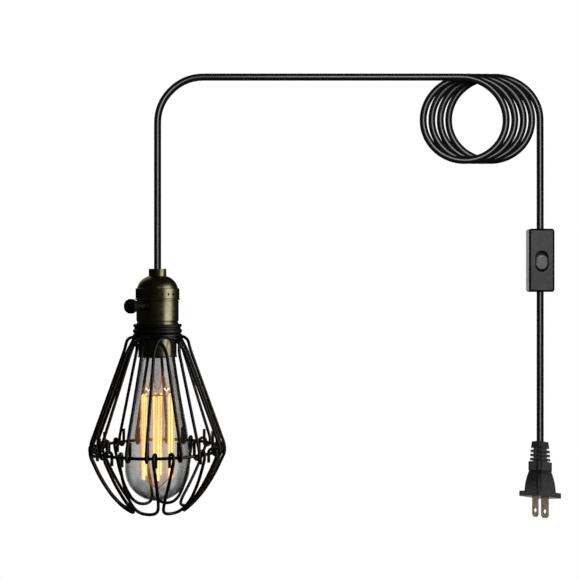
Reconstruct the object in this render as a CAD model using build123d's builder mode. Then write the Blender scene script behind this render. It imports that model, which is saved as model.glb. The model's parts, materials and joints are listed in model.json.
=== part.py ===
"""Plug-in cage pendant light: brass key socket, folding wire cage, filament bulb, cord, switch and plug.

Millimetres, +Z up. The origin is the point of the cord that the lamp hangs from, on the lamp's axis. The
front of the lamp faces -Y. Azimuths are counted from the front (-Y), positive towards +X.
"""
from build123d import *
from math import acos, asin, cos, degrees, pi, radians, sin, tan
import os

os.makedirs("parts", exist_ok=True)

# ---------------------------------------------------------------- driving dimensions
# cord
CORD_R = 3.2
RUN_Z = 40.8             # height of the level run above the origin
CORNER_R = 41.4          # size of the corner between the drop and the level run
CORNER_CUT = CORNER_R * (2 - 2 ** 0.5)

# coil: its first turn is in front, and each later turn lies behind and to the right of the last
COIL_TURNS = 4.25
COIL_PITCH_Y = 6.6
COIL_PITCH_X = 8.97
COIL_RX, COIL_RZ = 39.3, 37.5
COIL_GROWTH = 1.03       # size of the last turn over the first
COIL_START_X = 272.5
COIL_START_Z = RUN_Z - COIL_RZ
COIL_RISE = 4.6          # the last turn's centre is this much higher than the first
COIL_DEPTH = COIL_TURNS * COIL_PITCH_Y
TAIL_X = 351.2
TAIL_Y = COIL_DEPTH

# socket, from the neck down
NECK_R, NECK_BORE = 7.875, 4.6
NECK_TOP = -131.8
DOME_R, DOME_WALL = 14.6, 0.9
DOME_X, DOME_Z = 4.0, -152.3        # centre of the dome's arc
BAND_TOP, BAND_FOOT = -149.2, -159.7
BAND_R, BAND_BORE = 19.6, 18.75
VENT_COUNT, VENT_R, VENT_Z = 22, 1.25, -154.6
BODY_R, BODY_FOOT = 18.9, -177.6
SLEEVE_R, SLEEVE_BORE, SLEEVE_FOOT = 17.1, 16.2, -211.0
KNOB_AZ, KNOB_Z = -28.0, -164.9
KNOB_FACE = 42.0         # distance of the knob's outer face from the lamp's axis
KNOB_R, KNOB_THICK = 6.4, 5.0
FLUTES, FLUTE_R = 12, 0.9
SHAFT_R = 1.6
RING_TOP, RING_FOOT = -181.4, -190.4
COLLAR_FOOT = -191.9

# cage
WIRE_R = 1.4
EQUATOR_R, EQUATOR_Z = 57.0, -293.5
HOOK_R = 3.5
PETALS = 8
PETAL_STEP = 360 / PETALS
UPPER_AZ, LOWER_AZ = 35.0, 34.6
UPPER_SPREAD, LOWER_SPREAD = 36.65, 15.3   # a hook's azimuth from its petal's middle
UPPER_TAIL, LOWER_TAIL = 12.0, 8.5

# bulb
BULB_NECK_Z, BULB_FOOT = -209.8, -340.0
BULB_WALL = 0.8
BASE_R = 13.0
FILAMENT_R, FILAMENT_TOP, FILAMENT_FOOT = 14.0, -245.0, -320.0
HOOKS, HOOK_AZ = 6, 3.0
TOP_SPLIT, FOOT_SPLIT = 9.0, 7.0    # a strand's azimuth from its hook

# inline switch
SWITCH_W, SWITCH_H, SWITCH_D = 23.6, 58.4, 14.0
SWITCH_TOP = -94.2
SWITCH_Z = SWITCH_TOP - SWITCH_H / 2
SWITCH_WALL = 1.7
SLOT_W, SLOT_H = 12.4, 19.5
ROCKER_Z = SWITCH_Z - 0.9
ROCKER_GAP = 0.35
ROCKER_TILT = 12.0
PIVOT_DEPTH = 6.0
CROWN_L, CROWN_W, CROWN_TOP = 13.6, 10.2, 7.3
DECK_TOP, DECK_FOOT = 2.2, -1.9
PIN_R = 1.0

# plug: leans towards the front, its blades turned about its own axis
PLUG_LEAN = 16.0
PLUG_TURN = 36.3
BLADE_GAP = 12.7
BLADE_T, BLADE_L = 1.5, 17.9
NARROW_W, WIDE_W = 6.35, 7.94
BLADE_HOLE_R, BLADE_HOLE_AT = 2.0, 12.0
BLADE_ROOT = 9.0

# ---------------------------------------------------------------- routes of the cord
LEAN_X, LEAN_Y = -0.238, -0.971


def lean_step(point, lean, length):
    """The point reached by going down from a point, leaning by an angle towards the front left."""
    side = length * sin(radians(lean))
    x, y, z = point
    return (x + side * LEAN_X, y + side * LEAN_Y, z - length * cos(radians(lean)))


DROP_ROUTE = [
    (0, 0, -136.5),
    (0, 0, RUN_Z - CORNER_CUT),
    (CORNER_CUT, 0, RUN_Z),
    (COIL_START_X, 0, RUN_Z),
]
UPPER_TAIL_ROUTE = [(TAIL_X, TAIL_Y, 8.0), (TAIL_X, TAIL_Y, SWITCH_TOP - 4)]
TAIL_BEND = (TAIL_X, TAIL_Y, -249.5)
TAIL_LOW = lean_step(TAIL_BEND, PLUG_LEAN / 2, 22)
PLUG_TOP = lean_step(TAIL_LOW, PLUG_LEAN, 20)
LOWER_TAIL_ROUTE = [
    (TAIL_X, TAIL_Y, SWITCH_TOP - SWITCH_H + 4),
    TAIL_BEND,
    TAIL_LOW,
    lean_step(PLUG_TOP, PLUG_LEAN, 4),
]
PLUG_AXIS = Vector(*lean_step((0, 0, 0), PLUG_LEAN, 1))


def bend_radii(route):
    """For each inner point, 0.45 of the shorter run divided by the tangent of half the turn."""
    points = [Vector(*p) for p in route]
    radii = []
    for before, corner, after in zip(points, points[1:], points[2:]):
        turn = (corner - before).get_angle(after - corner)
        shorter = min((corner - before).length, (after - corner).length)
        radii.append(0.45 * shorter / tan(radians(turn / 2)))
    return radii


def cord_tube(name, route):
    """A round tube along straight runs joined by tangent arcs."""
    radii = bend_radii(route)
    with BuildPart() as tube:
        with BuildLine() as path:
            if radii:
                FilletPolyline(*route, radius=radii)
            else:
                Polyline(*route)
        with BuildSketch(path.line ^ 0):
            Circle(CORD_R)
        sweep(path=path.line)
    length = path.wire().length
    print(name, "length", round(length, 1), "bend radii", [round(r, 1) for r in radii],
          "volume ratio", round(tube.part.volume / (pi * CORD_R ** 2 * length), 4))
    save(tube, name)


def save(builder, name):
    builder.part.label = name
    export_step(builder.part, f"parts/{name}.step")


# ---------------------------------------------------------------- planes and small helpers
def azimuth_plane(azimuth, height=0.0):
    """Local x points outwards at the azimuth, y sideways and z up."""
    a = radians(azimuth)
    return Plane(origin=(0, 0, height), x_dir=(sin(a), -cos(a), 0), z_dir=(0, 0, 1))


def around(azimuth, radius, height):
    a = radians(azimuth)
    return (radius * sin(a), -radius * cos(a), height)


def add_rod(start, end, radius):
    """Adds a straight round rod to the part being built."""
    axis = Vector(*end) - Vector(*start)
    with BuildSketch(Plane(origin=start, z_dir=axis)) as section:
        Circle(radius)
    extrude(section.sketch, amount=axis.length)


knob_a = radians(KNOB_AZ)
KNOB_DIR = (sin(knob_a), -cos(knob_a), 0)
# planes square to the knob's shaft, the first on the lamp's axis
knob_plane = Plane(origin=(0, 0, KNOB_Z), x_dir=(0, 0, 1), z_dir=KNOB_DIR)
# plane through the shaft's axis: x along the shaft, y up
shaft_plane = Plane(origin=(0, 0, KNOB_Z), x_dir=KNOB_DIR, z_dir=Vector(*KNOB_DIR).cross(Vector(0, 0, 1)))

# ================================================================ cord
cord_tube("cord_drop", DROP_ROUTE)
cord_tube("cord_tail_upper", UPPER_TAIL_ROUTE)
cord_tube("cord_tail_lower", LOWER_TAIL_ROUTE)

# the coil's outer shape: an oblique ring from just before its first turn to just behind its last
with BuildPart() as cord_coil:
    for wall, mode in ((CORD_R, Mode.ADD), (-CORD_R, Mode.SUBTRACT)):
        for end, y in ((0, -CORD_R), (1, COIL_DEPTH + CORD_R)):
            size = COIL_GROWTH ** end
            centre = (COIL_START_X + end * COIL_TURNS * COIL_PITCH_X, y, COIL_START_Z + end * COIL_RISE)
            with BuildSketch(Plane(origin=centre, x_dir=(1, 0, 0), z_dir=(0, -1, 0))):
                Ellipse(COIL_RX * size + wall, COIL_RZ * size + wall)
        loft(mode=mode)
save(cord_coil, "cord_coil")

# ================================================================ socket: outer shells
def dome_arc(radius, top_x):
    """An arc about the dome's centre, from the height of the band's top up to a distance from the axis."""
    start = degrees(asin((BAND_TOP - DOME_Z) / radius))
    stop = degrees(acos((top_x - DOME_X) / radius))
    return CenterArc((DOME_X, DOME_Z), radius, start, stop - start)


with BuildPart() as socket_cap:
    with BuildSketch(Plane.XZ):
        with BuildLine():
            outer = dome_arc(DOME_R, NECK_R)
            inner = dome_arc(DOME_R - DOME_WALL, NECK_BORE)
            Polyline(outer @ 1, (NECK_R, NECK_TOP), (NECK_BORE, NECK_TOP), inner @ 1)
            Polyline(inner @ 0, (BAND_BORE, BAND_TOP - 0.9), (BAND_BORE, BAND_FOOT + 1.6),
                     (BAND_BORE + 0.3, BAND_FOOT), (BAND_R + 0.45, BAND_FOOT),
                     (BAND_R + 0.45, BAND_FOOT + 0.5), (BAND_R, BAND_FOOT + 1.5),
                     (BAND_R, BAND_TOP - 0.35), (BAND_R - 0.35, BAND_TOP), outer @ 0)
        make_face()
    revolve(axis=Axis.Z)
    with Locations((0, 0, VENT_Z)):
        with PolarLocations(BAND_R, VENT_COUNT, start_angle=-90 + 3):
            Cylinder(VENT_R, 4, rotation=(0, 90, 0), mode=Mode.SUBTRACT)
save(socket_cap, "socket_cap")

with BuildPart() as socket_shell:
    with BuildSketch(Plane.XZ):
        with BuildLine():
            Polyline((17.5, -152.0), (18.3, -152.0), (18.3, BAND_FOOT - 0.4), (19.15, BAND_FOOT - 0.6),
                     (19.15, BAND_FOOT - 1.3), (BODY_R, BAND_FOOT - 1.6), (BODY_R, BODY_FOOT))
            TangentArc((BODY_R, BODY_FOOT), (18.2, BODY_FOOT - 1.3), tangent=(0, -1))
            Polyline((18.2, BODY_FOOT - 1.3), (18.2, BODY_FOOT - 2.0), (18.6, BODY_FOOT - 2.6),
                     (18.6, RING_TOP + 0.15), (SLEEVE_R, RING_TOP - 0.9), (SLEEVE_R, SLEEVE_FOOT + 1.4),
                     (SLEEVE_R + 0.5, SLEEVE_FOOT + 0.9), (SLEEVE_R + 0.5, SLEEVE_FOOT),
                     (SLEEVE_BORE, SLEEVE_FOOT), (SLEEVE_BORE, RING_TOP - 0.5), (17.5, RING_TOP + 0.6),
                     (17.5, -152.0))
        make_face()
    revolve(axis=Axis.Z)
    with BuildSketch(knob_plane.offset(10)):
        Circle(3.4)
    extrude(amount=12, mode=Mode.SUBTRACT)
save(socket_shell, "socket_shell")

# nylon grip that holds the cord in the neck
with BuildPart() as cord_grip:
    with BuildSketch(Plane.XY.offset(NECK_TOP - 5.4)):
        Circle(NECK_BORE - 0.05)
        Circle(CORD_R + 0.08, mode=Mode.SUBTRACT)
    extrude(amount=5.0)
save(cord_grip, "cord_grip")

# small screw that clamps the neck, at the back
with BuildPart() as neck_screw:
    with BuildSketch(Plane(origin=(0, NECK_R + 0.15, -135.4), x_dir=(1, 0, 0), z_dir=(0, 1, 0))):
        Circle(1.7)
    extrude(amount=1.5)
    with BuildSketch(Plane(origin=(0, NECK_R + 1.65, -135.4), x_dir=(1, 0, 0), z_dir=(0, 1, 0))):
        Rectangle(2.6, 0.5)
    extrude(amount=-0.6, mode=Mode.SUBTRACT)
    chamfer(neck_screw.faces().sort_by(Axis.Y)[-1].outer_wire().edges().filter_by(GeomType.CIRCLE), 0.25)
save(neck_screw, "neck_screw")

# ================================================================ socket: inside
with BuildPart() as insulating_liner:
    with BuildSketch(Plane.XY.offset(-209.4)):
        Circle(15.9)
        Circle(15.2, mode=Mode.SUBTRACT)
    extrude(amount=57)
    with BuildSketch(knob_plane.offset(10)):
        Circle(3.2)
    extrude(amount=12, mode=Mode.SUBTRACT)
save(insulating_liner, "insulating_liner")

with BuildPart() as switch_core:
    with BuildSketch(Plane.XY.offset(-176.5)):
        Circle(14.8)
    extrude(amount=24.5)
    chamfer(switch_core.edges().sort_by(Axis.Z)[-1], 2.0)
    with BuildSketch(knob_plane.offset(2)):
        Circle(SHAFT_R + 0.07)
    extrude(amount=16, mode=Mode.SUBTRACT)
    with Locations((9, 0, -152.0), (-9, 0, -152.0)):
        Cylinder(1.55, 6, align=(Align.CENTER, Align.CENTER, Align.MAX), mode=Mode.SUBTRACT)
save(switch_core, "switch_core")

with BuildPart() as terminal_screws:
    with Locations((9, 0, -152.0), (-9, 0, -152.0)):
        Cylinder(1.45, 5, align=(Align.CENTER, Align.CENTER, Align.MAX))
        Cylinder(2.8, 1.8, align=(Align.CENTER, Align.CENTER, Align.MIN))
    with Locations((9, 0, -150.2), (-9, 0, -150.2)):
        Box(6, 0.7, 1.4, mode=Mode.SUBTRACT)
save(terminal_screws, "terminal_screws")

with BuildPart() as screw_shell:
    with BuildSketch(Plane.XZ):
        with BuildLine():
            Polyline((6, -177.0), (13.9, -177.0), (13.9, -207.8), (13.3, -207.8), (13.3, -177.6),
                     (6, -177.6), close=True)
        make_face()
    revolve(axis=Axis.Z)
save(screw_shell, "screw_shell")

with BuildPart() as centre_contact:
    with BuildSketch(Plane.XZ):
        with BuildLine():
            Polyline((-4.5, -176.6), (2.5, -176.6), (4.4, -179.8), (-3.0, -181.6), (-3.0, -181.1),
                     (3.5, -179.5), (2.2, -177.1), (-4.5, -177.1), close=True)
        make_face()
    extrude(amount=2.2, both=True)
save(centre_contact, "centre_contact")

# ================================================================ turn knob and its shaft
with BuildPart() as knob_shaft:
    with BuildSketch(knob_plane.offset(4)):
        Circle(SHAFT_R)
    extrude(amount=KNOB_FACE - 2.5 - 4)
save(knob_shaft, "knob_shaft")

with BuildPart() as turn_knob:
    # round disc across the shaft's end, with flutes in its rim
    with BuildSketch(knob_plane.offset(KNOB_FACE - KNOB_THICK)):
        Circle(KNOB_R)
    extrude(amount=KNOB_THICK)
    fillet(turn_knob.edges().filter_by(GeomType.CIRCLE), 1.2)
    with BuildSketch(knob_plane.offset(KNOB_FACE - KNOB_THICK)):
        with PolarLocations(KNOB_R + FLUTE_R / 2, FLUTES):
            Circle(FLUTE_R)
    extrude(amount=KNOB_THICK, mode=Mode.SUBTRACT)
    # neck round the shaft, with a foot in front of the shell
    with BuildSketch(shaft_plane):
        with BuildLine():
            Polyline((BODY_R + 0.7, 0), (BODY_R + 0.7, 4.2), (BODY_R + 1.7, 4.2), (BODY_R + 2.5, 2.4),
                     (KNOB_FACE - KNOB_THICK + 0.5, 2.9), (KNOB_FACE - KNOB_THICK + 0.5, 0), close=True)
        make_face()
    revolve(axis=Axis(origin=(0, 0, KNOB_Z), direction=KNOB_DIR))
    with BuildSketch(knob_plane):
        Circle(SHAFT_R + 0.02)
    extrude(amount=KNOB_FACE - 2.4, mode=Mode.SUBTRACT)
save(turn_knob, "turn_knob")

# ================================================================ shade ring and cage collar
with BuildPart() as shade_ring:
    with BuildSketch(Plane.XZ):
        with BuildLine():
            Polyline((19.0, RING_TOP), (21.2, RING_TOP), (21.7, RING_TOP - 0.6), (21.7, RING_TOP - 2.0),
                     (20.7, RING_TOP - 2.9), (20.7, RING_TOP - 4.2), (21.95, RING_TOP - 5.1),
                     (21.95, RING_TOP - 7.0), (20.3, RING_FOOT), (SLEEVE_R + 0.2, RING_FOOT),
                     (SLEEVE_R + 0.2, RING_TOP - 1.3), (19.0, RING_TOP - 0.5), close=True)
        make_face()
    revolve(axis=Axis.Z)
save(shade_ring, "shade_ring")

with BuildPart() as cage_collar:
    with BuildSketch(Plane.XY.offset(COLLAR_FOOT)):
        Circle(22.0)
        Circle(SLEEVE_R + 0.3, mode=Mode.SUBTRACT)
    extrude(amount=RING_FOOT - COLLAR_FOOT)
save(cage_collar, "cage_collar")

# ================================================================ cage wires
with BuildPart() as equator_ring:
    with BuildSketch(Plane.XZ):
        with Locations((EQUATOR_R, EQUATOR_Z)):
            Circle(WIRE_R)
    revolve(axis=Axis.Z)
save(equator_ring, "equator_ring")



def wire_petal(name, azimuth, points):
    """A wire bent to a petal: hook, leg, closing arch, leg, hook."""
    with BuildPart() as petal:
        with BuildLine(azimuth_plane(azimuth)) as path:
            FilletPolyline(*points, radius=bend_radii(points))
        with BuildSketch(path.line ^ 0):
            Circle(WIRE_R)
        sweep(path=path.line)
    print(name, "volume ratio", round(petal.part.volume / (pi * WIRE_R ** 2 * path.wire().length), 4))
    save(petal, name)


def polar(radius, azimuth, height):
    """A point in a petal's own plane, its azimuth counted from the petal's middle."""
    a = radians(azimuth)
    return (radius * cos(a), radius * sin(a), height)


# Upper petals hook under the ring and lean in to the collar, where their arches are welded. Each is wider
# than its step, so it crosses both neighbours below its arch: one shoulder passes outside, the other inside.
UPPER_HOOK_Z = EQUATOR_Z + 0.62
UPPER_ARCH = (20.0, 0, -192.9)
OUTER_SHOULDER = [(29.5, 33.5, -204.5), (27.2, 27.5, -195.6), (23.6, 16.0, -192.7)]
INNER_SHOULDER = [(27.8, 33.5, -205.5), (23.6, 27.5, -198.8), (20.8, 16.0, -193.8)]


def upper_side(side, shoulder):
    """One side of an upper petal from its hook's end to its shoulder; side is -1 or 1."""
    hook = [
        (EQUATOR_R - HOOK_R, UPPER_SPREAD, UPPER_HOOK_Z + UPPER_TAIL),
        (EQUATOR_R - HOOK_R, UPPER_SPREAD, UPPER_HOOK_Z - HOOK_R),
        (EQUATOR_R + HOOK_R, UPPER_SPREAD, UPPER_HOOK_Z - HOOK_R),
        (EQUATOR_R + HOOK_R, UPPER_SPREAD, UPPER_HOOK_Z + 3.5),
    ]
    return [polar(radius, side * azimuth, height) for radius, azimuth, height in hook + shoulder]


upper_points = upper_side(-1, OUTER_SHOULDER) + [polar(*UPPER_ARCH)] + upper_side(1, INNER_SHOULDER)[::-1]

# lower petals hook over the ring, so that each swings outwards on it
lower_out, lower_across = polar(EQUATOR_R, LOWER_SPREAD, 0)[:2]
lower_half = [
    (lower_out - HOOK_R, lower_across, EQUATOR_Z - LOWER_TAIL),
    (lower_out - HOOK_R, lower_across, EQUATOR_Z + HOOK_R),
    (lower_out + HOOK_R, lower_across, EQUATOR_Z + HOOK_R),
    (lower_out + HOOK_R, lower_across, EQUATOR_Z - 3.8),
    (48.9, 14.6, -317.5),
    (38.9, 13.2, -333.2),
    (30.8, 10.4, -342.6),
    (26.6, 6.4, -346.6),
]
LOWER_ARCH = (25.2, 0, -347.8)
lower_points = lower_half + [LOWER_ARCH] + [(x, -y, z) for x, y, z in lower_half[::-1]]

for i in range(PETALS):
    wire_petal(f"upper_petal_{i + 1}", UPPER_AZ + i * PETAL_STEP, upper_points)
    wire_petal(f"lower_petal_{i + 1}", LOWER_AZ + i * PETAL_STEP, lower_points)

# ================================================================ bulb
BULB_R = 29.0
BULB_TOP = -204.0
with BuildPart() as bulb_glass:
    with BuildSketch(Plane.XZ):
        with BuildLine():
            Polyline((0, BULB_FOOT), (0, BULB_TOP), (12.1, BULB_TOP), (12.1, BULB_NECK_Z))
            flare = TangentArc((12.1, BULB_NECK_Z), (13.2, BULB_NECK_Z - 2.4), tangent=(0, -1))
            shoulder = TangentArc(flare @ 1, (14.9, BULB_NECK_Z - 5.2), tangent=flare % 1)
            cone = Line(shoulder @ 1, (25.6, -271.0))
            TangentArc(cone @ 1, (BULB_R, BULB_FOOT + BULB_R), tangent=cone % 1)
            CenterArc((0, BULB_FOOT + BULB_R), BULB_R, -90, 90)
        make_face()
    revolve(axis=Axis.Z)
    offset(amount=-BULB_WALL, openings=bulb_glass.faces().sort_by(Axis.Z)[-1])
save(bulb_glass, "bulb_glass")

with BuildPart() as bulb_base_shell:
    with BuildSketch(Plane.XZ):
        with BuildLine():
            Polyline((12.4, BULB_NECK_Z + 0.4), (BASE_R, BULB_NECK_Z + 0.4), (BASE_R, -187.0),
                     (11.4, -185.6), (11.0, -185.9), (12.4, -187.4), close=True)
        make_face()
    revolve(axis=Axis.Z)
save(bulb_base_shell, "bulb_base_shell")

with BuildPart() as bulb_base_insulator:
    with BuildSketch(Plane.XZ):
        with BuildLine():
            Polyline((0, -189.5), (10.6, -189.5), (10.6, -185.7), (5.2, -183.4), (0, -183.4), close=True)
        make_face()
    revolve(axis=Axis.Z)
save(bulb_base_insulator, "bulb_base_insulator")

with BuildPart() as bulb_contact:
    with BuildSketch(Plane.XY.offset(-183.4)):
        Circle(4.6)
    extrude(amount=1.5)
    fillet(bulb_contact.edges().sort_by(Axis.Z)[-1], 1.0)
save(bulb_contact, "bulb_contact")

STEM_ROD_R = 1.1
with BuildPart() as bulb_stem:
    with BuildSketch(Plane.XZ):
        with BuildLine():
            Polyline((0, -206.0), (11.2, -206.0), (11.2, -207.0), (8.0, -208.6))
            funnel = TangentArc((8.0, -208.6), (4.2, -220.0), tangent=(-0.9, -0.45))
            Polyline(funnel @ 1, (3.6, -234.0), (2.6, -238.5), (STEM_ROD_R, -241.0),
                     (STEM_ROD_R, -325.5), (0, -326.2), (0, -206.0))
        make_face()
    revolve(axis=Axis.Z)
save(bulb_stem, "bulb_stem")

# two thick leads from the stem's pinch out to the filament's ends
with BuildPart() as bulb_leads:
    for side in (-1, 1):
        bend = (side * 8.2, 0, -240.6)
        add_rod((side * 5.2, 0, -224.0), bend, 0.5)
        add_rod(bend, (side * (FILAMENT_R - 1.2), 0, FILAMENT_TOP + 0.8), 0.5)
        with Locations(bend):
            Sphere(0.65)
save(bulb_leads, "bulb_leads")

# support wires: a crown of arms at the top, and a spider at the foot of the stem's rod
hook_azimuths = [HOOK_AZ + i * 360 / HOOKS for i in range(HOOKS)]
with BuildPart() as bulb_supports:
    for azimuth in hook_azimuths:
        foot = around(azimuth, FILAMENT_R - 1.0, FILAMENT_FOOT + 1.2)
        add_rod(around(azimuth, 1.6, FILAMENT_FOOT - 9.0), foot, 0.3)
    with Locations((0, 0, FILAMENT_FOOT - 8.9)):
        Cylinder(1.9, 1.6)
    for azimuth in hook_azimuths:
        top = around(azimuth, FILAMENT_R - 1.0, FILAMENT_TOP - 1.4)
        add_rod(around(azimuth, STEM_ROD_R + 0.5, FILAMENT_TOP - 0.6), top, 0.3)
    with Locations((0, 0, FILAMENT_TOP - 0.6)):
        Cylinder(2.2, 1.6)
        Cylinder(STEM_ROD_R + 0.05, 3, mode=Mode.SUBTRACT)
save(bulb_supports, "bulb_supports")

# filament: strands that run up and down between the top arms and the foot arms
with BuildPart() as bulb_filament:
    for azimuth in hook_azimuths:
        for side in (-1, 1):
            top = around(azimuth + side * TOP_SPLIT, FILAMENT_R, FILAMENT_TOP)
            foot = around(azimuth + side * FOOT_SPLIT, FILAMENT_R, FILAMENT_FOOT)
            add_rod(top, foot, 0.35)
save(bulb_filament, "bulb_filament")

# ================================================================ inline rocker switch
SWITCH_FRONT = TAIL_Y - SWITCH_D / 2
SWITCH_SEAM = TAIL_Y + 0.6
SWITCH_BACK = TAIL_Y + SWITCH_D / 2
switch_plane = Plane(origin=(TAIL_X, 0, SWITCH_Z), x_dir=(1, 0, 0), z_dir=(0, -1, 0))
rocker_plane = Plane(origin=(TAIL_X, 0, ROCKER_Z), x_dir=(1, 0, 0), z_dir=(0, -1, 0))


def cut_cord_holes():
    with BuildSketch(Plane(origin=(TAIL_X, TAIL_Y, SWITCH_Z - SWITCH_H / 2 - 5))) as hole:
        Circle(CORD_R + 0.1)
    extrude(hole.sketch, amount=SWITCH_H + 10, mode=Mode.SUBTRACT)


with BuildPart() as switch_cover:
    with BuildSketch(switch_plane.offset(-SWITCH_SEAM)):
        RectangleRounded(SWITCH_W, SWITCH_H, 2.6)
    extrude(amount=SWITCH_SEAM - SWITCH_FRONT)
    chamfer(switch_cover.faces().sort_by(Axis.Y)[0].edges(), 1.1)
    with BuildSketch(switch_plane.offset(-SWITCH_SEAM)):
        RectangleRounded(SWITCH_W - 2 * SWITCH_WALL, SWITCH_H - 2 * SWITCH_WALL, 1.6)
    extrude(amount=SWITCH_SEAM - SWITCH_FRONT - SWITCH_WALL, mode=Mode.SUBTRACT)
    with BuildSketch(rocker_plane.offset(-SWITCH_SEAM)):
        SlotOverall(SLOT_H, SLOT_W, rotation=90)
    extrude(amount=SWITCH_D, mode=Mode.SUBTRACT)
    cut_cord_holes()
save(switch_cover, "switch_cover")

SCREW_SPOTS = ((0, 20.5), (0, -20.5))
with BuildPart() as switch_base:
    with BuildSketch(switch_plane.offset(-SWITCH_BACK)):
        RectangleRounded(SWITCH_W, SWITCH_H, 2.6)
    extrude(amount=SWITCH_BACK - SWITCH_SEAM)
    chamfer(switch_base.faces().sort_by(Axis.Y)[-1].edges(), 1.1)
    with BuildSketch(switch_plane.offset(-SWITCH_BACK + SWITCH_WALL)):
        RectangleRounded(SWITCH_W - 2 * SWITCH_WALL, SWITCH_H - 2 * SWITCH_WALL, 1.6)
    extrude(amount=SWITCH_D, mode=Mode.SUBTRACT)
    with BuildSketch(switch_plane.offset(-SWITCH_BACK)):
        with Locations(*SCREW_SPOTS):
            Circle(1.6)
    extrude(amount=SWITCH_WALL + 1, mode=Mode.SUBTRACT)
    cut_cord_holes()
save(switch_base, "switch_base")

with BuildPart() as switch_screws:
    with BuildSketch(switch_plane.offset(-SWITCH_BACK - 0.3)):
        with Locations(*SCREW_SPOTS):
            Circle(1.45)
    extrude(amount=2.9)
    with BuildSketch(switch_plane.offset(-SWITCH_BACK - 1.3)):
        with Locations(*SCREW_SPOTS):
            Circle(2.7)
    extrude(amount=1.25)
    with BuildSketch(switch_plane.offset(-SWITCH_BACK - 1.3)):
        with Locations(*SCREW_SPOTS):
            Rectangle(3.6, 0.7)
            Rectangle(0.7, 3.6)
    extrude(amount=0.7, mode=Mode.SUBTRACT)
save(switch_screws, "switch_screws")

# the rocker's deck is turned about its pin, so that it clears the slot's ends; its crown stands on the deck
PIVOT_Y = SWITCH_FRONT + PIVOT_DEPTH
slot_r = SLOT_W / 2 - ROCKER_GAP
slot_flat = (SLOT_H - SLOT_W) / 2
rocker_axis = Axis(origin=(TAIL_X, PIVOT_Y, ROCKER_Z), direction=(1, 0, 0))
side_plane = Plane(origin=(TAIL_X, PIVOT_Y, ROCKER_Z), x_dir=(0, -1, 0), z_dir=(1, 0, 0))
tilt = radians(ROCKER_TILT)
crown_plane = Plane(origin=side_plane.origin, x_dir=(1, 0, 0), z_dir=(0, -cos(tilt), -sin(tilt)))
with BuildPart() as switch_rocker:
    with BuildSketch(Plane(origin=side_plane.origin, x_dir=(1, 0, 0), z_dir=(0, -1, 0))):
        with BuildLine():
            Polyline((-slot_r, slot_flat), (-slot_r, 0), (slot_r, 0), (slot_r, slot_flat))
            CenterArc((0, slot_flat), slot_r, 0, 180)
        make_face()
    revolve(axis=rocker_axis)
    with BuildSketch(crown_plane.offset(DECK_FOOT)):
        Rectangle(SWITCH_W, SLOT_H + 4)
    extrude(amount=DECK_TOP - DECK_FOOT, mode=Mode.INTERSECT)
    with BuildSketch(crown_plane):
        SlotOverall(CROWN_L, CROWN_W, rotation=90)
    extrude(amount=CROWN_TOP)
    fillet(switch_rocker.faces().sort_by(Axis.Y)[0].edges(), 1.5)
    with BuildSketch(side_plane):
        Circle(PIN_R + 0.08)
    extrude(amount=SWITCH_W / 2, both=True, mode=Mode.SUBTRACT)
save(switch_rocker, "switch_rocker")

with BuildPart() as rocker_pin:
    with BuildSketch(side_plane):
        Circle(PIN_R)
    extrude(amount=SWITCH_W / 2 - SWITCH_WALL - 0.05, both=True)
save(rocker_pin, "rocker_pin")

# brass contact strips along the inner back wall
with BuildPart() as switch_contacts:
    for side in (-1, 1):
        with Locations((TAIL_X, SWITCH_BACK - SWITCH_WALL - 0.45, SWITCH_Z + side * 11)):
            Box(7, 0.8, 12)
save(switch_contacts, "switch_contacts")

# ================================================================ plug
plug_turn = radians(PLUG_TURN)
plug_plane = Plane(origin=PLUG_TOP, x_dir=(cos(plug_turn), sin(plug_turn), 0), z_dir=PLUG_AXIS)
BLOCK_L = 5.8
RIB_PITCH, RIB_T, RIBS = 3.7, 1.9, 3
COLLAR_AT, COLLAR_END = 18.4, 26.4
FLANGE_AT, PLUG_L = 45.4, 50.0
with BuildPart() as plug_body:
    # top block of the strain relief
    with BuildSketch(plug_plane):
        RectangleRounded(13.6, 10.6, 2.6)
    with BuildSketch(plug_plane.offset(BLOCK_L)):
        RectangleRounded(15.2, 11.6, 2.8)
    loft()
    # core of the strain relief, and its ribs
    with BuildSketch(plug_plane.offset(BLOCK_L)):
        RectangleRounded(11.0, 9.2, 2.8)
    extrude(amount=COLLAR_AT - BLOCK_L)
    for i in range(RIBS):
        with BuildSketch(plug_plane.offset(BLOCK_L + 2.0 + i * RIB_PITCH)):
            RectangleRounded(16.2 + 0.3 * i, 12.4 + 0.2 * i, 3.2)
        extrude(amount=RIB_T)
    # collar
    with BuildSketch(plug_plane.offset(COLLAR_AT)):
        RectangleRounded(19.6, 15.2, 4.2)
    extrude(amount=COLLAR_END - COLLAR_AT)
    # flaring body
    with BuildSketch(plug_plane.offset(COLLAR_END)):
        RectangleRounded(18.2, 14.0, 3.6)
    with BuildSketch(plug_plane.offset((COLLAR_END + FLANGE_AT) / 2)):
        RectangleRounded(23.0, 17.6, 3.6)
    with BuildSketch(plug_plane.offset(FLANGE_AT)):
        RectangleRounded(24.6, 18.8, 3.2)
    loft()
    # flange
    with BuildSketch(plug_plane.offset(FLANGE_AT)):
        RectangleRounded(31.4, 23.0, 1.4)
    extrude(amount=PLUG_L - FLANGE_AT)
    # cord hole and blade slots
    with BuildSketch(plug_plane):
        Circle(CORD_R + 0.08)
    extrude(amount=5, mode=Mode.SUBTRACT)
    with BuildSketch(plug_plane.offset(PLUG_L)):
        with Locations((-BLADE_GAP / 2, 0)):
            Rectangle(BLADE_T + 0.1, NARROW_W + 0.1)
        with Locations((BLADE_GAP / 2, 0)):
            Rectangle(BLADE_T + 0.1, WIDE_W + 0.1)
    extrude(amount=-BLADE_ROOT - 0.1, mode=Mode.SUBTRACT)
save(plug_body, "plug_body")


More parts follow.
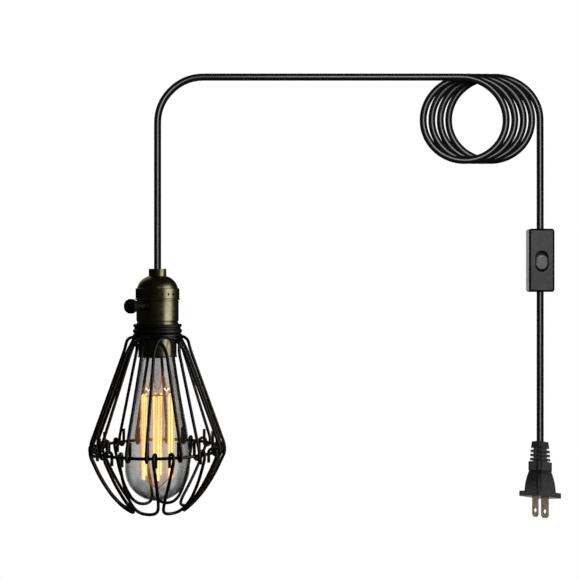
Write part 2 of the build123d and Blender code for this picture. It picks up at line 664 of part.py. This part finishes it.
def plug_blade(name, side, width):
    """A flat blade with a rounded tip and a detent hole, standing in its slot in the plug's face."""
    blade_plane = plug_plane.offset(PLUG_L)
    origin = blade_plane.origin + blade_plane.x_dir * (side * BLADE_GAP / 2)
    flat = Plane(origin=origin, x_dir=blade_plane.y_dir, z_dir=blade_plane.x_dir)
    with BuildPart() as blade:
        with BuildSketch(flat):
            with BuildLine():
                Polyline((-width / 2, BLADE_L - 2), (-width / 2, -BLADE_ROOT), (width / 2, -BLADE_ROOT),
                         (width / 2, BLADE_L - 2))
                Line((width / 2, BLADE_L - 2), (width / 2 - 1.9, BLADE_L))
                Line((width / 2 - 1.9, BLADE_L), (-width / 2 + 1.9, BLADE_L))
                Line((-width / 2 + 1.9, BLADE_L), (-width / 2, BLADE_L - 2))
            make_face()
            with Locations((0, BLADE_HOLE_AT)):
                Circle(BLADE_HOLE_R, mode=Mode.SUBTRACT)
        extrude(amount=BLADE_T / 2, both=True)
    save(blade, name)


plug_blade("narrow_blade", -1, NARROW_W)
plug_blade("wide_blade", 1, WIDE_W)
print("plug face", plug_plane.offset(PLUG_L).origin, "axis", PLUG_AXIS)
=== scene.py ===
"""Looks for the plug-in cage pendant light: camera, studio, materials, cords and glowing filament."""

import json
from math import cos, pi, radians, sin, tan

import bmesh
import bpy
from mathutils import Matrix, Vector

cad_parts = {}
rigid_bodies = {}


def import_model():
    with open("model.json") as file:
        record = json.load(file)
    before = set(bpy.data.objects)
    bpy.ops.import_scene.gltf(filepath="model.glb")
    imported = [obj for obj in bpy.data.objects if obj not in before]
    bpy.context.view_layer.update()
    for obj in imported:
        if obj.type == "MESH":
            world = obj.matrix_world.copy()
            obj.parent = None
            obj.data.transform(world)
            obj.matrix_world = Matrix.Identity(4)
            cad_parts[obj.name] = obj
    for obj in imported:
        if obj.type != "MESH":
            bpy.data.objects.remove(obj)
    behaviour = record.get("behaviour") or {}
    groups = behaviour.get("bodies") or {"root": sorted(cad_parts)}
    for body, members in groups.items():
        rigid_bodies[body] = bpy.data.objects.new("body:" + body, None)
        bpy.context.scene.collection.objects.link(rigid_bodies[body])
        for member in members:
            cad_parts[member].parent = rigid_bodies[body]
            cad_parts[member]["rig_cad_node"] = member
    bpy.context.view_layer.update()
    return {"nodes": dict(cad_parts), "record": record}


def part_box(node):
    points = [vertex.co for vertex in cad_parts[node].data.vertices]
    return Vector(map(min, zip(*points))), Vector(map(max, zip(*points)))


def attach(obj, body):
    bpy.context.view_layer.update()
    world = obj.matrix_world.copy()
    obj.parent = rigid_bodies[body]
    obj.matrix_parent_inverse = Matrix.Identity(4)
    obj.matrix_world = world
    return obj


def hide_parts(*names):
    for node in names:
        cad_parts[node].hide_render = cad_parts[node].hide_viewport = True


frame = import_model()
nodes = frame["nodes"]
scene = bpy.context.scene
MM = 0.001

# ---------------------------------------------------------------- camera
CAMERA_DISTANCE = 0.92
VIEW_WIDTH = 0.522       # width seen at the lamp's axis
CAMERA_X, CAMERA_Z = 0.1192, -0.1508
SENSOR_WIDTH = 36
camera_data = bpy.data.cameras.new("camera")
camera_data.sensor_width = SENSOR_WIDTH
camera_data.lens = SENSOR_WIDTH * CAMERA_DISTANCE / VIEW_WIDTH
camera = bpy.data.objects.new("camera", camera_data)
camera.location = (CAMERA_X, -CAMERA_DISTANCE, CAMERA_Z)
camera.rotation_euler = (pi / 2, 0, 0)
scene.collection.objects.link(camera)
scene.camera = camera
scene.view_settings.view_transform = "Standard"


# ---------------------------------------------------------------- studio
def area_light(name, place, target, size, power):
    """A white rectangular softbox that faces its target."""
    data = bpy.data.lights.new(name, "AREA")
    data.shape = "RECTANGLE"
    data.size, data.size_y = size
    data.energy = power
    light = bpy.data.objects.new(name, data)
    light.location = place
    light.rotation_euler = (Vector(target) - Vector(place)).to_track_quat("-Z", "Y").to_euler()
    scene.collection.objects.link(light)
    return light


LAMP, SWITCH, PLUG = (0.0, 0.0, -0.20), (0.351, 0.028, -0.124), (0.347, 0.013, -0.315)
lights = {
    # one tall softbox on the right shapes the lamp, and leaves its left side dark
    "lamp_key": area_light("lamp_key", (1.17, -0.47, 0.0), LAMP, (0.95, 1.4), 7.5),
    "lamp_front": area_light("lamp_front", (0.45, -1.2, 0.35), LAMP, (0.3, 0.3), 0.25),
    # softboxes beside the camera draw one even line along the cords, whichever way they run
    "cord_line": area_light("cord_line", (0.30, -1.08, 0.08), (0.16, 0, -0.02), (0.55, 0.5), 9),
    "plug_cord_line": area_light("plug_cord_line", (0.30, -1.08, -0.02), (0.35, 0, -0.22), (0.4, 0.9), 11),
    # the switch is lit from behind on its left, and from above in front
    "switch_left": area_light("switch_left", (-0.62, 0.62, 0.0), SWITCH, (0.6, 0.8), 26),
    "switch_front": area_light("switch_front", (0.15, -1.1, 0.5), SWITCH, (0.6, 0.6), 12),
    # the plug is lit from both sides, from above in front, and from below behind for its flange
    "plug_right": area_light("plug_right", (1.40, -0.15, -0.30), PLUG, (0.6, 0.8), 1.8),
    "plug_left": area_light("plug_left", (-0.75, 0.02, -0.45), PLUG, (0.6, 0.8), 3),
    "plug_front": area_light("plug_front", (0.35, -0.98, 0.22), PLUG, (0.5, 0.6), 3),
    "plug_back": area_light("plug_back", (0.575, 0.93, -0.68), PLUG, (0.6, 0.6), 1.7),
    # behind, for views from the back
    "back": area_light("back", (-0.5, 1.3, 0.6), (0.15, 0, -0.15), (1.2, 1.2), 1.6),
}

# the camera sees white all round, but little of that light falls on the pieces
WORLD_LIGHT = 0.010
world = bpy.data.worlds.new("studio")
scene.world = world
world.use_nodes = True
world_tree = world.node_tree
world_tree.nodes.clear()
world_out = world_tree.nodes.new("ShaderNodeOutputWorld")
seen = world_tree.nodes.new("ShaderNodeBackground")
seen.inputs["Color"].default_value = (1, 1, 1, 1)
lighting = world_tree.nodes.new("ShaderNodeBackground")
lighting.inputs["Color"].default_value = (1, 1, 1, 1)
lighting.inputs["Strength"].default_value = WORLD_LIGHT
path = world_tree.nodes.new("ShaderNodeLightPath")
mix = world_tree.nodes.new("ShaderNodeMixShader")
world_tree.links.new(path.outputs["Is Camera Ray"], mix.inputs["Fac"])
world_tree.links.new(lighting.outputs[0], mix.inputs[1])
world_tree.links.new(seen.outputs[0], mix.inputs[2])
world_tree.links.new(mix.outputs[0], world_out.inputs["Surface"])


# ---------------------------------------------------------------- materials
def material(name, colour, roughness, metallic=0.0):
    """A principled material with constants on its own sockets."""
    mat = bpy.data.materials.new(name)
    mat.use_nodes = True
    shader = mat.node_tree.nodes["Principled BSDF"]
    shader.inputs["Base Color"].default_value = (*colour, 1)
    shader.inputs["Roughness"].default_value = roughness
    shader.inputs["Metallic"].default_value = metallic
    return mat


def noise(mat, scale, detail=3.0, stretch=(1, 1, 1)):
    """A noise texture in object space, per metre."""
    tree = mat.node_tree
    place = tree.nodes.new("ShaderNodeTexCoord")
    mapping = tree.nodes.new("ShaderNodeMapping")
    mapping.inputs["Scale"].default_value = stretch
    texture = tree.nodes.new("ShaderNodeTexNoise")
    texture.inputs["Scale"].default_value = scale
    texture.inputs["Detail"].default_value = detail
    tree.links.new(place.outputs["Object"], mapping.inputs["Vector"])
    tree.links.new(mapping.outputs["Vector"], texture.inputs["Vector"])
    return texture.outputs["Fac"]


def remap(mat, value, low, high, start=0.3, end=0.7):
    """The value spread from low to high between start and end."""
    tree = mat.node_tree
    node = tree.nodes.new("ShaderNodeMapRange")
    for key, number in (("From Min", start), ("From Max", end), ("To Min", low), ("To Max", high)):
        node.inputs[key].default_value = number
    tree.links.new(value, node.inputs["Value"])
    return node.outputs["Result"]


def math_node(mat, operation, first, second=0.0):
    """The result of a math node on two sockets, or on a socket and a number."""
    tree = mat.node_tree
    node = tree.nodes.new("ShaderNodeMath")
    node.operation = operation
    tree.links.new(first, node.inputs[0])
    if isinstance(second, float):
        node.inputs[1].default_value = second
    else:
        tree.links.new(second, node.inputs[1])
    return node.outputs[0]


def vary_colour(mat, value, colours):
    """Base colour from a ramp of (position, colour) stops."""
    tree = mat.node_tree
    ramp = tree.nodes.new("ShaderNodeValToRGB")
    stops = ramp.color_ramp.elements
    while len(stops) < len(colours):
        stops.new(0.5)
    for stop, (position, colour) in zip(stops, colours):
        stop.position = position
        stop.color = (*colour, 1)
    tree.links.new(value, ramp.inputs["Fac"])
    tree.links.new(ramp.outputs["Color"], tree.nodes["Principled BSDF"].inputs["Base Color"])


def vary_roughness(mat, value, low, high):
    """Roughness that follows the value from low to high."""
    shader = mat.node_tree.nodes["Principled BSDF"]
    mat.node_tree.links.new(remap(mat, value, low, high), shader.inputs["Roughness"])


def bump(mat, value, height, strength=1.0):
    """Bump of that height in metres."""
    tree = mat.node_tree
    node = tree.nodes.new("ShaderNodeBump")
    node.inputs["Distance"].default_value = height
    node.inputs["Strength"].default_value = strength
    tree.links.new(value, node.inputs["Height"])
    tree.links.new(node.outputs["Normal"], tree.nodes["Principled BSDF"].inputs["Normal"])


def cord_vinyl():
    """Black glossy vinyl."""
    mat = material("cord_vinyl", (0.006, 0.006, 0.0065), 0.27)
    vary_roughness(mat, noise(mat, 200), 0.25, 0.31)
    vary_colour(mat, noise(mat, 60), ((0.3, (0.005, 0.005, 0.0055)), (0.7, (0.010, 0.010, 0.0105))))
    bump(mat, noise(mat, 150), 0.00002, 0.05)
    return mat


def antique_brass():
    """Satin brass, darkened unevenly, with a fine upright grain."""
    mat = material("antique_brass", (0.31, 0.29, 0.17), 0.33, 1.0)
    vary_colour(mat, noise(mat, 90, 6), ((0.32, (0.25, 0.232, 0.13)), (0.52, (0.31, 0.292, 0.175)),
                                        (0.74, (0.37, 0.352, 0.225))))
    vary_roughness(mat, noise(mat, 400, 5), 0.25, 0.34)
    bump(mat, noise(mat, 2600, 4, (1, 1, 0.12)), 0.00002, 0.5)
    return mat


def black_enamel():
    """Black enamel on steel wire, with a little wear in its gloss."""
    mat = material("black_enamel", (0.008, 0.0075, 0.007), 0.33)
    vary_colour(mat, noise(mat, 160, 4), ((0.35, (0.005, 0.0048, 0.0045)), (0.72, (0.013, 0.012, 0.011))))
    vary_roughness(mat, noise(mat, 700), 0.26, 0.45)
    bump(mat, noise(mat, 1200, 4), 0.00005, 0.6)
    return mat


def moulded(name, colour, roughness, grain=0.00003):
    """A moulded plastic with a fine grain and small changes of tone."""
    mat = material(name, colour, roughness)
    darker = tuple(c * 0.85 for c in colour)
    lighter = tuple(c * 1.18 for c in colour)
    vary_colour(mat, noise(mat, 120, 4), ((0.35, darker), (0.65, lighter)))
    vary_roughness(mat, noise(mat, 500), roughness * 0.85, roughness * 1.15)
    bump(mat, noise(mat, 3200, 3), grain, 0.6)
    return mat


def object_dot(mat, output, direction):
    """The object's own coordinates (Object) or normal (Normal), measured along a direction."""
    tree = mat.node_tree
    place = tree.nodes.new("ShaderNodeTexCoord")
    dot = tree.nodes.new("ShaderNodeVectorMath")
    dot.operation = "DOT_PRODUCT"
    dot.inputs[1].default_value = direction
    tree.links.new(place.outputs[output], dot.inputs[0])
    return dot.outputs["Value"]


def shade(mat, factor):
    """Multiplies the base colour by a value that changes over the surface."""
    tree = mat.node_tree
    base = tree.nodes["Principled BSDF"].inputs["Base Color"]
    product = tree.nodes.new("ShaderNodeVectorMath")
    product.operation = "SCALE"
    tree.links.new(base.links[0].from_socket, product.inputs[0])
    tree.links.new(factor, product.inputs["Scale"])
    tree.links.new(product.outputs["Vector"], base)


SWITCH_GREY, SWITCH_ROUGHNESS, SWITCH_GRAIN = (0.078, 0.078, 0.079), 0.42, 0.00005
# the line round the switch's front is painted shade: darkened and given little shine where the chamfer lies
# in shade
LINE_REACH, LINE_DEPTH, LINE_FADE = 2.0 * MM, 1.1 * MM, 0.3 * MM
SHADE_LINE_COLOUR, SHADE_LINE_SHINE, FACE_SHINE = 0.08, 0.03, 0.5


def switch_front():
    """Dark grey with painted shade: a black line round the front, on the chamfer and the last of the face,
    which also reflects little.
    """
    mat = moulded("switch_front", SWITCH_GREY, SWITCH_ROUGHNESS, SWITCH_GRAIN)
    low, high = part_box("switch_cover")
    middle, half = (low + high) / 2, (high - low) / 2
    borders = []
    for axis, direction in ((0, (1, 0, 0)), (2, (0, 0, 1))):
        offset = math_node(mat, "SUBTRACT", object_dot(mat, "Object", direction), middle[axis])
        inner = half[axis] - LINE_REACH
        borders.append(remap(mat, math_node(mat, "ABSOLUTE", offset), 0.0, 1.0, inner, inner + LINE_FADE))
    depth = object_dot(mat, "Object", (0, 1, 0))
    line_end = low[1] + LINE_DEPTH
    near_front = remap(mat, depth, 1.0, 0.0, line_end, line_end + LINE_FADE)
    line = math_node(mat, "MULTIPLY", math_node(mat, "MAXIMUM", *borders), near_front)
    # painted shade: the line darkens the colour and takes away most of the reflection
    shade(mat, remap(mat, line, 1.0, SHADE_LINE_COLOUR, 0.0, 1.0))
    shine = mat.node_tree.nodes["Principled BSDF"].inputs["Specular IOR Level"]
    mat.node_tree.links.new(remap(mat, line, FACE_SHINE, SHADE_LINE_SHINE, 0.0, 1.0), shine)
    return mat


ROCKER_TILT = radians(12)
DECK_SHADE_COLOUR, DECK_HEIGHT, CROWN_HEIGHT = 0.07, 2.4 * MM, 3.4 * MM


def rocker_plastic():
    """Mid grey crown on a deck darkened nearly black as painted shade of the slot's recess; heights are
    counted from the rocker's pin.
    """
    mat = moulded("rocker_plastic", (0.22, 0.22, 0.22), 0.4, 0.00008)
    crown = Vector((0, -cos(ROCKER_TILT), -sin(ROCKER_TILT)))
    low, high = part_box("rocker_pin")
    pin = crown.dot((low + high) / 2)
    height = object_dot(mat, "Object", crown)
    # painted shade: the deck below the crown is darkened as the shadow in the slot
    shade(mat, remap(mat, height, DECK_SHADE_COLOUR, 1, pin + DECK_HEIGHT, pin + CROWN_HEIGHT))
    return mat


def metal(name, colour, roughness):
    """A metal with slightly darker patches and a fine grain."""
    mat = material(name, colour, roughness, 1.0)
    darker = tuple(c * 0.75 for c in colour)
    vary_colour(mat, noise(mat, 260, 5), ((0.35, darker), (0.65, colour)))
    vary_roughness(mat, noise(mat, 900), roughness * 0.8, roughness * 1.25)
    bump(mat, noise(mat, 2200, 3), 0.00002, 0.5)
    return mat


BULB_FOOT_Z, FOOT_SHADE_END_Z = -333 * MM, -305 * MM


def see_through(mat, low, high, start, end, streaks, foot=1.0):
    """Alpha that rises towards the edges and, foot times, towards the bulb's foot, with upright streaks."""
    tree = mat.node_tree
    weight = tree.nodes.new("ShaderNodeLayerWeight")
    weight.inputs["Blend"].default_value = 0.4
    edge = remap(mat, weight.outputs["Facing"], low, high, start, end)
    streak = remap(mat, noise(mat, 160, 3, (1, 1, 0.03)), 1 - streaks, 1 + streaks)
    height = object_dot(mat, "Object", (0, 0, 1))
    deeper = remap(mat, height, foot, 1.0, BULB_FOOT_Z, FOOT_SHADE_END_Z)
    alpha = math_node(mat, "MULTIPLY", math_node(mat, "MULTIPLY", edge, streak), deeper)
    tree.links.new(alpha, tree.nodes["Principled BSDF"].inputs["Alpha"])


def bulb_glass():
    """Thin smoky glass: seen through when faced, denser towards its edges."""
    mat = material("bulb_glass", (0.035, 0.034, 0.030), 0.04)
    vary_colour(mat, noise(mat, 45), ((0.3, (0.025, 0.025, 0.021)), (0.7, (0.060, 0.058, 0.048))))
    see_through(mat, 0.20, 0.55, 0.15, 0.95, 0.45, 1.35)
    return mat


def clear_glass():
    """The stem's glass, warmed by the glow: its brown colour is the glow's light, painted."""
    mat = material("clear_glass", (0.25, 0.20, 0.15), 0.05)
    vary_colour(mat, noise(mat, 120), ((0.3, (0.18, 0.14, 0.10)), (0.7, (0.32, 0.25, 0.18))))
    see_through(mat, 0.12, 0.7, 0.1, 1.0, 0.3)
    return mat


def glow(name, colour, strength, haze=None):
    """A glowing surface, a little uneven; haze is the alpha of one that fades out at its edges."""
    mat = material(name, (0, 0, 0), 0.5)
    tree = mat.node_tree
    shader = tree.nodes["Principled BSDF"]
    shader.inputs["Emission Strength"].default_value = strength
    tint = tree.nodes.new("ShaderNodeValToRGB")
    tint.color_ramp.elements[0].color = (colour[0], colour[1] * 0.8, colour[2] * 0.6, 1)
    tint.color_ramp.elements[1].color = (*colour, 1)
    tree.links.new(noise(mat, 90, 3, (1, 1, 0.3)), tint.inputs["Fac"])
    tree.links.new(tint.outputs["Color"], shader.inputs["Emission Color"])
    mat.cycles.emission_sampling = "NONE"
    if haze:
        weight = tree.nodes.new("ShaderNodeLayerWeight")
        weight.inputs["Blend"].default_value = 0.5
        tree.links.new(remap(mat, weight.outputs["Facing"], haze, 0, 0, 0.9), shader.inputs["Alpha"])
    return mat


finishes = {
    "cord_jacket": cord_vinyl(),
    "antique_brass": antique_brass(),
    "black_nylon": moulded("nylon", (0.02, 0.02, 0.02), 0.5),
    "blackened_screw": metal("blackened_steel", (0.07, 0.065, 0.06), 0.35),
    "liner_board": moulded("liner_board", (0.33, 0.27, 0.19), 0.8, 0.0001),
    "phenolic": moulded("phenolic", (0.05, 0.035, 0.025), 0.35),
    "plain_brass": metal("plain_brass", (0.72, 0.52, 0.24), 0.3),
    "black_bakelite": moulded("bakelite", (0.006, 0.006, 0.0065), 0.45),
    "black_wire": black_enamel(),
    "smoked_glass": bulb_glass(),
    "clear_glass": clear_glass(),
    "black_glass": moulded("black_glass", (0.02, 0.02, 0.03), 0.12),
    "base_metal": metal("base_metal", (0.70, 0.60, 0.40), 0.25),
    # the lead wires are no lamp: their faint orange glow is painted light from the filament
    "lead_wire": glow("lead_wire", (1.0, 0.42, 0.14), 0.35),
    "filament": glow("filament", (1.0, 0.74, 0.38), 3.2),
    "switch_plastic": moulded("switch_plastic", SWITCH_GREY, SWITCH_ROUGHNESS, SWITCH_GRAIN),
    "rocker_plastic": rocker_plastic(),
    "plug_vinyl": moulded("plug_vinyl", (0.012, 0.012, 0.0125), 0.42, 0.00006),
    "blade_brass": metal("blade_brass", (0.30, 0.255, 0.195), 0.45),
}
# painted glow: a fading haze round the strands stands in for the filament's light around it
strand_haze = glow("strand_haze", (1.0, 0.50, 0.13), 1.7, 0.42)
# painted glow: a faint glowing shell fills the bulb, standing in for the filament's light in the glass
bulb_haze = glow("bulb_haze", (1.0, 0.52, 0.22), 0.8, 0.16)
slot_of = {row["node"]: row["material_slot"] for row in frame["record"]["subparts"]}


def dress(obj, slot):
    """Gives a piece the finish of a material slot."""
    obj.data.materials.clear()
    obj.data.materials.append(finishes[slot])


for name, node in nodes.items():
    dress(node, slot_of[name])
    node.data.shade_smooth()
    node.data.set_sharp_from_angle(angle=radians(32))

nodes["switch_cover"].data.materials[0] = switch_front()

# ---------------------------------------------------------------- cords
CORD_R = 3.2 * MM
RUN_Z = 40.8 * MM
CORNER_CUT = 41.4 * MM * (2 - 2 ** 0.5)
CORNER_RUN = CORNER_CUT * 2 ** 0.5
COIL_TURNS, POINTS_PER_TURN = 4.25, 16
COIL_PITCH_X, COIL_PITCH_Y = 8.97 * MM, 6.6 * MM
COIL_RX, COIL_RZ = 39.3 * MM, 37.5 * MM
COIL_GROWTH, COIL_RISE = 1.03, 4.6 * MM
COIL_START_X = 272.5 * MM
COIL_START_Z = RUN_Z - COIL_RZ
TAIL_X, TAIL_Y = 351.2 * MM, COIL_TURNS * COIL_PITCH_Y
SWITCH_TOP, SWITCH_FOOT = -94.2 * MM, -152.6 * MM
HALF_STEP = pi / POINTS_PER_TURN


def coil_point(k):
    """Control point k of the coil, half a step past k steps from its top; its turns go clockwise."""
    angle = (2 * k + 1) * HALF_STEP
    done = angle / (2 * pi * COIL_TURNS)
    reach = COIL_GROWTH ** done / cos(HALF_STEP)
    return (
        COIL_START_X + COIL_TURNS * COIL_PITCH_X * done + COIL_RX * reach * sin(angle),
        TAIL_Y * done,
        COIL_START_Z + COIL_RISE * done + COIL_RZ * reach * cos(angle),
    )


coil_points = [coil_point(k) for k in range(round(COIL_TURNS * POINTS_PER_TURN))]
tail_start_z = coil_points[-1][2] - 2 * COIL_RZ * COIL_GROWTH * tan(HALF_STEP)
lamp_cord_points = [
    (0, 0, -136.5 * MM),
    (0, 0, RUN_Z - CORNER_CUT - CORNER_RUN),
    (0, 0, RUN_Z - CORNER_CUT),
    (CORNER_CUT, 0, RUN_Z),
    (CORNER_CUT + CORNER_RUN, 0, RUN_Z),
    (COIL_START_X - COIL_RX * tan(HALF_STEP), 0, RUN_Z),
    *coil_points,
    (TAIL_X, TAIL_Y, tail_start_z),
    (TAIL_X, TAIL_Y, SWITCH_TOP - 4 * MM),
]
plug_cord_points = [
    (TAIL_X, TAIL_Y, SWITCH_FOOT + 4 * MM),
    (TAIL_X, TAIL_Y, -227.5 * MM),
    (TAIL_X, TAIL_Y, -249.5 * MM),
    (350.471 * MM, 25.077 * MM, -271.286 * MM),
    (348.897 * MM, 18.654 * MM, -294.356 * MM),
]


def cord_curve(name, points):
    """A round cord whose centreline is one NURBS spline through that control polygon."""
    curve = bpy.data.curves.new(name, "CURVE")
    curve.dimensions = "3D"
    curve.bevel_depth = CORD_R
    curve.bevel_resolution = 8
    curve.use_fill_caps = True
    spline = curve.splines.new("NURBS")
    spline.points.add(len(points) - 1)
    for control, point in zip(spline.points, points):
        control.co = (*point, 1)
    spline.order_u = 3
    spline.use_endpoint_u = True
    spline.resolution_u = 8
    obj = bpy.data.objects.new(name, curve)
    scene.collection.objects.link(obj)
    dress(obj, "cord_jacket")
    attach(obj, "lamp")
    return obj


lamp_cord = cord_curve("lamp_cord", lamp_cord_points)
plug_cord = cord_curve("plug_cord", plug_cord_points)
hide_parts("cord_drop", "cord_coil", "cord_tail_upper")
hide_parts("cord_tail_lower")

# ---------------------------------------------------------------- filament
FILAMENT_R, FILAMENT_TOP, FILAMENT_FOOT = 14.0 * MM, -245 * MM, -320 * MM
HOOKS, HOOK_AZ = 6, 3.0
TOP_SPLIT, FOOT_SPLIT = 9.0, 7.0
STRAND_R, STRAND_HAZE_R, LOOP_R = 0.7 * MM, 2.1 * MM, 0.6 * MM
LOOP_X, LOOP_Z, LOOP_SPREAD, LOOP_RISE = 8.2 * MM, -241.6 * MM, 2.3 * MM, 2.4 * MM
HALO_R, HALO_HALF_HEIGHT, HALO_Z = 22 * MM, 52 * MM, -278 * MM


def mesh_object(name, bm, slot):
    """A mesh piece from a bmesh, which is freed."""
    mesh = bpy.data.meshes.new(name)
    bm.to_mesh(mesh)
    bm.free()
    mesh.shade_smooth()
    obj = bpy.data.objects.new(name, mesh)
    scene.collection.objects.link(obj)
    dress(obj, slot)
    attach(obj, "lamp")
    return obj


def add_rod(bm, start, end, radius, segments=12):
    """Adds a round rod with flat ends."""
    start, end = Vector(start), Vector(end)
    turn = (end - start).to_track_quat("Z", "Y").to_matrix().to_4x4()
    turn.translation = (start + end) / 2
    bmesh.ops.create_cone(bm, cap_ends=True, segments=segments, radius1=radius, radius2=radius,
                          depth=(end - start).length, matrix=turn)


def on_filament(azimuth, height):
    """A point on the filament's cylinder; azimuths in degrees, from the front."""
    turn = radians(azimuth)
    return (FILAMENT_R * sin(turn), -FILAMENT_R * cos(turn), height)


strands, haze = bmesh.new(), bmesh.new()
for hook in range(HOOKS):
    azimuth = HOOK_AZ + hook * 360 / HOOKS
    for side in (-1, 1):
        top = on_filament(azimuth + side * TOP_SPLIT, FILAMENT_TOP)
        foot = on_filament(azimuth + side * FOOT_SPLIT, FILAMENT_FOOT)
        add_rod(strands, top, foot, STRAND_R)
        add_rod(haze, top, foot, STRAND_HAZE_R)
# two small glowing hooks above the filament
for side in (-1, 1):
    for arm in (-1, 1):
        tip = (side * LOOP_X + arm * LOOP_SPREAD, 0, LOOP_Z + LOOP_RISE)
        add_rod(strands, (side * LOOP_X, 0, LOOP_Z), tip, LOOP_R)

strand_rods = mesh_object("filament_strands", strands, "filament")
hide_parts("bulb_filament")
# thicker rods round the strands carry the painted glow
strand_glow = mesh_object("filament_haze", haze, "filament")
strand_glow.data.materials[0] = strand_haze

# the halo is painted glow, not a lamp
halo = bmesh.new()
bmesh.ops.create_uvsphere(halo, u_segments=32, v_segments=24, radius=1)
bmesh.ops.scale(halo, verts=halo.verts, vec=(HALO_R, HALO_R, HALO_HALF_HEIGHT))
bmesh.ops.translate(halo, verts=halo.verts, vec=(0, 0, HALO_Z))
bulb_halo = mesh_object("bulb_halo", halo, "filament")
bulb_halo.data.materials[0] = bulb_haze

# ---------------------------------------------------------------- which light falls on what
switch_names = ("switch_cover", "switch_base", "switch_rocker", "switch_screws", "rocker_pin",
                "switch_contacts")
plug_names = ("plug_body", "narrow_blade", "wide_blade")
lamp_pieces = [node for name, node in nodes.items() if name not in switch_names + plug_names]


def link_light(name, pieces):
    """Lets a light fall on some pieces only."""
    group = bpy.data.collections.new("lit_by_" + name)
    for piece in pieces:
        group.objects.link(piece)
    lights[name].light_linking.receiver_collection = group


link_light("cord_line", [lamp_cord])
link_light("plug_cord_line", [plug_cord])
for light_name in ("lamp_key", "lamp_front"):
    link_light(light_name, lamp_pieces)
for light_name in ("switch_left", "switch_front"):
    link_light(light_name, [nodes[name] for name in switch_names])
for light_name in ("plug_right", "plug_front", "plug_left", "plug_back"):
    link_light(light_name, [nodes[name] for name in plug_names])

# ---------------------------------------------------------------- floor
FLOOR_R, FLOOR_PLACE = 1.2, (0.15, 0.05, -0.85)
floor_mesh = bpy.data.meshes.new("floor")
disc = bmesh.new()
bmesh.ops.create_circle(disc, cap_ends=True, radius=FLOOR_R, segments=96)
bmesh.ops.translate(disc, verts=disc.verts, vec=FLOOR_PLACE)
disc.to_mesh(floor_mesh)
disc.free()
floor = bpy.data.objects.new("floor", floor_mesh)
floor_mesh.materials.append(moulded("floor_paint", (0.80, 0.80, 0.80), 0.7))
scene.collection.objects.link(floor)
